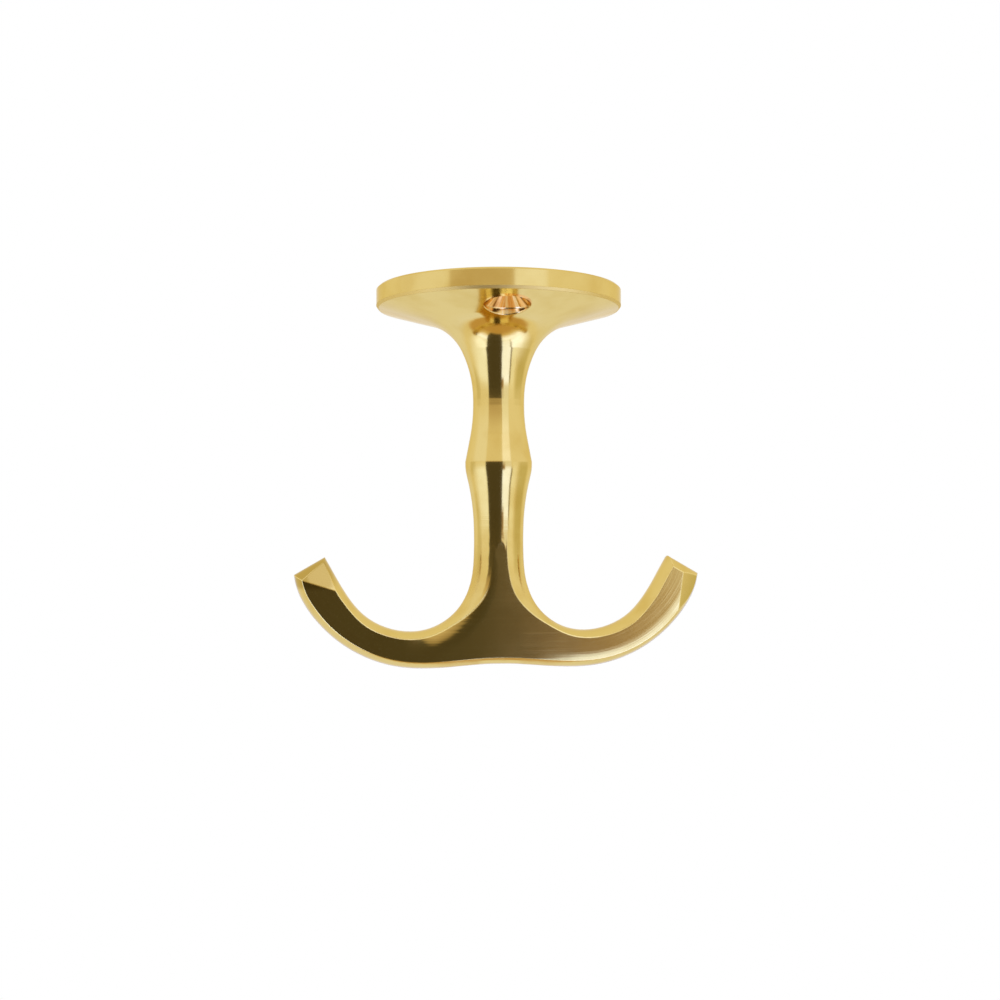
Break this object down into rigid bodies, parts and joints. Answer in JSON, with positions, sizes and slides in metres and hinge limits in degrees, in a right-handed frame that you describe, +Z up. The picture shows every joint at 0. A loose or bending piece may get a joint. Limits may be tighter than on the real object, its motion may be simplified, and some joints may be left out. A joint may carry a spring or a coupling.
{
  "type": "anchor hook",
  "caption": "Cast brass anchor hook with a round screw flange, a waisted stem with a raised ring, and two opposed upturned arms for hanging things under a shelf or ceiling.",
  "frame": {"origin": "middle of the flat face that lies against the ceiling", "axes": "+Z points up out of the ceiling face, and the two arms reach out along +X and -X"},
  "size_m": [0.0648, 0.039, 0.0603],
  "materials": {
    "brass": "polished and lacquered"
  },
  "bodies": {
    "root": {"anchor_hook": "brass"}
  },
  "joints": []
}
